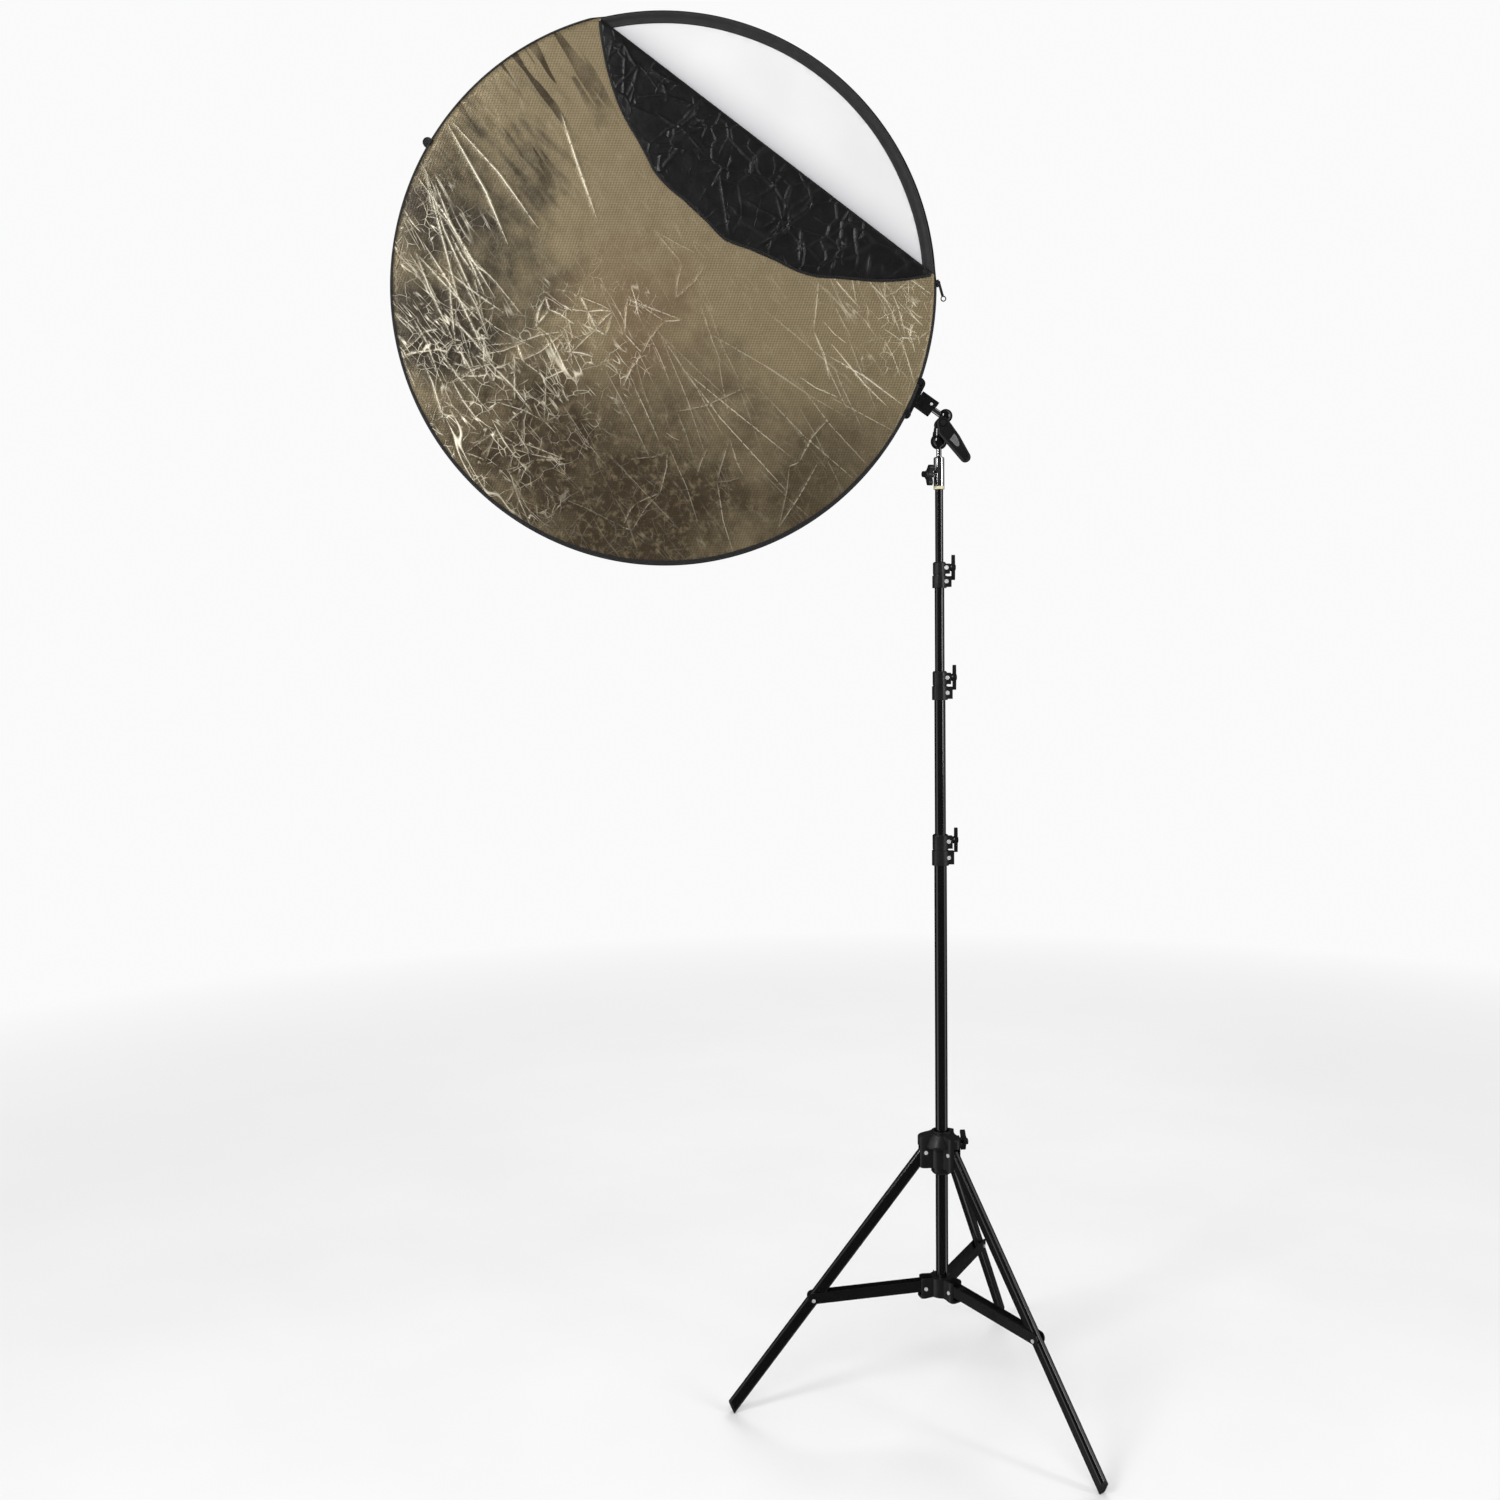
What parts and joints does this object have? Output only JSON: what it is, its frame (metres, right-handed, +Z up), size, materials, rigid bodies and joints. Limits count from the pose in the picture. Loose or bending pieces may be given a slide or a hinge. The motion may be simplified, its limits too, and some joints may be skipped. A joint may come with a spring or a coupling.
{
  "type": "reflector on stand",
  "caption": "Round collapsible fabric reflector, gold over a white diffuser, clipped to a telescopic arm on a swivel head and a folding telescopic light stand.",
  "frame": {"origin": "on the floor, on the axis of the stand's column", "axes": "+Z up along the column; +X towards the wing knobs, away from the reflector; the reflector faces -Y"},
  "size_m": [1.3146, 0.763, 2.757],
  "materials": {
    "black_enamel": "gloss",
    "black_strip": "satin",
    "black_casting": "satin",
    "head_casting": "gloss",
    "black_knob": "satin",
    "lever_grip": "matte",
    "plug_plastic": "matte",
    "bright_steel": "polished",
    "chrome": "polished",
    "bare_aluminium": "satin",
    "nylon_ring": "satin",
    "foot_rubber": "matte",
    "spring_steel": "satin",
    "diffuser_cloth": "matte",
    "webbing": "matte",
    "gold_cloth": "satin",
    "silver_cloth": "satin",
    "black_lining": "satin",
    "zip_metal": "gloss",
    "zip_tab": "matte"
  },
  "bodies": {
    "base": {"base_tube": "black_enamel", "base_plug": "plug_plastic", "lower_hub": "black_casting", "hub_pins": "bright_steel", "collar_1": "black_casting", "collar_1_screws": "bright_steel"},
    "wing_knob_1": {"wing_knob_1": "black_knob"},
    "crown": {"crown": "black_casting", "crown_pins": "bright_steel"},
    "crown_knob": {"crown_knob": "black_knob"},
    "leg_left": {"leg_left": "black_enamel", "foot_left": "foot_rubber"},
    "leg_right": {"leg_right": "black_enamel", "foot_right": "foot_rubber"},
    "leg_rear": {"leg_rear": "black_enamel", "foot_rear": "foot_rubber"},
    "brace_left": {"brace_left": "black_strip", "brace_left_rivets": "bright_steel"},
    "brace_right": {"brace_right": "black_strip", "brace_right_rivets": "bright_steel"},
    "brace_rear": {"brace_rear": "black_strip", "brace_rear_rivets": "bright_steel"},
    "section_2": {"tube_2": "black_enamel", "tube_2_plug": "plug_plastic", "collar_2": "black_casting", "collar_2_screws": "bright_steel"},
    "wing_knob_2": {"wing_knob_2": "black_knob"},
    "section_3": {"tube_3": "black_enamel", "tube_3_plug": "plug_plastic", "collar_3": "black_casting", "collar_3_screws": "bright_steel"},
    "wing_knob_3": {"wing_knob_3": "black_knob"},
    "section_4": {"tube_4": "black_enamel", "tube_4_plug": "plug_plastic"},
    "pan": {"sleeve": "chrome", "sleeve_ring": "nylon_ring", "head_base": "head_casting", "tilt_bolt": "bright_steel"},
    "receiver_knob": {"receiver_knob": "black_knob"},
    "head_jaw": {"head_jaw": "head_casting"},
    "lever": {"lever": "black_knob", "lever_pad": "lever_grip"},
    "arm": {"rod": "chrome", "block": "black_strip", "block_pin": "bright_steel", "near_clip": "black_knob", "arm_tube": "black_enamel", "steel_ring": "spring_steel", "diffuser": "diffuser_cloth", "rim_binding": "webbing", "cover_front": "gold_cloth", "cover_back": "silver_cloth", "cover_edge": "webbing"},
    "arm_inner": {"arm_inner": "bare_aluminium", "far_clip": "black_knob"},
    "flap": {"cover_flap": "black_lining"},
    "zip_slider": {"zip_slider": "zip_metal"},
    "zip_pull": {"zip_pull": "zip_tab"}
  },
  "joints": [
    {"name": "crown_slide", "type": "slide", "parent": "base", "child": "crown", "axis": [0, 0, 1], "range_m": [0, 0.3217]},
    {"name": "leg_left_fold", "type": "hinge", "parent": "crown", "child": "leg_left", "pos_m": [-0.03487, -0.00305, 0.525], "axis": [0.0872, -0.9962, 0], "range_deg": [0, 34.4]},
    {"name": "brace_left_fold", "type": "hinge", "parent": "base", "child": "brace_left", "pos_m": [-0.03636, -0.00318, 0.243], "axis": [-0.0872, 0.9962, 0], "range_deg": [0, 88.51]},
    {"name": "leg_right_fold", "type": "hinge", "parent": "crown", "child": "leg_right", "pos_m": [0.02007, -0.02867, 0.525], "axis": [0.8192, 0.5736, 0], "range_deg": [0, 34.4]},
    {"name": "brace_right_fold", "type": "hinge", "parent": "base", "child": "brace_right", "pos_m": [0.02094, -0.0299, 0.243], "axis": [-0.8192, -0.5736, 0], "range_deg": [0, 88.51]},
    {"name": "leg_rear_fold", "type": "hinge", "parent": "crown", "child": "leg_rear", "pos_m": [0.01479, 0.03172, 0.525], "axis": [-0.9063, 0.4226, 0], "range_deg": [0, 34.4]},
    {"name": "brace_rear_fold", "type": "hinge", "parent": "base", "child": "brace_rear", "pos_m": [0.01543, 0.03308, 0.243], "axis": [0.9063, -0.4226, 0], "range_deg": [0, 88.51]},
    {"name": "crown_knob_turn", "type": "hinge", "parent": "crown", "child": "crown_knob", "pos_m": [0.03686, 0.00323, 0.543], "axis": [0.9962, 0.0872, 0], "continuous": true},
    {"name": "wing_knob_1_turn", "type": "hinge", "parent": "base", "child": "wing_knob_1", "pos_m": [0.024, 0, 1.1569], "axis": [1, 0, 0], "continuous": true},
    {"name": "section_2_slide", "type": "slide", "parent": "base", "child": "section_2", "axis": [0, 0, 1], "range_m": [-0.26, 0.29], "stiffness_N_per_m": 60000},
    {"name": "wing_knob_2_turn", "type": "hinge", "parent": "section_2", "child": "wing_knob_2", "pos_m": [0.022, 0, 1.4808], "axis": [1, 0, 0], "continuous": true},
    {"name": "section_3_slide", "type": "slide", "parent": "section_2", "child": "section_3", "axis": [0, 0, 1], "range_m": [-0.15, 0.34], "stiffness_N_per_m": 60000},
    {"name": "wing_knob_3_turn", "type": "hinge", "parent": "section_3", "child": "wing_knob_3", "pos_m": [0.0205, 0, 1.697], "axis": [1, 0, 0], "continuous": true},
    {"name": "section_4_slide", "type": "slide", "parent": "section_3", "child": "section_4", "axis": [0, 0, 1], "range_m": [-0.13, 0.29], "stiffness_N_per_m": 60000},
    {"name": "head_pan", "type": "hinge", "parent": "section_4", "child": "pan", "pos_m": [0, 0, 1.8495], "axis": [0, 0, 1], "continuous": true},
    {"name": "receiver_knob_turn", "type": "hinge", "parent": "pan", "child": "receiver_knob", "pos_m": [-0.01363, -0.00496, 1.8775], "axis": [-0.9397, -0.342, 0], "continuous": true},
    {"name": "head_tilt", "type": "hinge", "parent": "pan", "child": "head_jaw", "pos_m": [0.005, 0, 1.975], "axis": [0, 1, 0], "range_deg": [-40, 45], "stiffness_Nm_per_rad": 3000},
    {"name": "lever_turn", "type": "hinge", "parent": "pan", "child": "lever", "pos_m": [0.005, -0.023, 1.975], "axis": [0, 1, 0], "range_deg": [-60, 35]},
    {"name": "arm_roll", "type": "hinge", "parent": "head_jaw", "child": "arm", "pos_m": [0.01335, 0, 1.98649], "axis": [-0.809, 0, 0.5878], "continuous": true, "stiffness_Nm_per_rad": 200},
    {"name": "arm_extend", "type": "slide", "parent": "arm", "child": "arm_inner", "axis": [-0.8829, 0, 0.4695], "range_m": [0, 0.24]},
    {"name": "flap_fold", "type": "hinge", "parent": "arm", "child": "flap", "pos_m": [-0.32856, -0.0351, 2.49777], "axis": [-0.7934, 0, 0.6088], "range_deg": [0, 178]},
    {"name": "zip_travel", "type": "hinge", "parent": "arm", "child": "zip_slider", "pos_m": [-0.5325, -0.027, 2.232], "axis": [0, -1, 0], "range_deg": [0, 96]},
    {"name": "zip_pull_swing", "type": "hinge", "parent": "zip_slider", "child": "zip_pull", "pos_m": [-0.00355, -0.0372, 2.23939], "axis": [0, -1, 0], "range_deg": [-50, 50]}
  ],
  "couplings": [
    {"joint": "leg_left_fold", "follows": "crown_slide", "rad_per_m": 1.8609},
    {"joint": "brace_left_fold", "follows": "crown_slide", "rad_per_m": 4.7964},
    {"joint": "leg_right_fold", "follows": "crown_slide", "rad_per_m": 1.8609},
    {"joint": "brace_right_fold", "follows": "crown_slide", "rad_per_m": 4.7964},
    {"joint": "leg_rear_fold", "follows": "crown_slide", "rad_per_m": 1.8609},
    {"joint": "brace_rear_fold", "follows": "crown_slide", "rad_per_m": 4.7964}
  ]
}
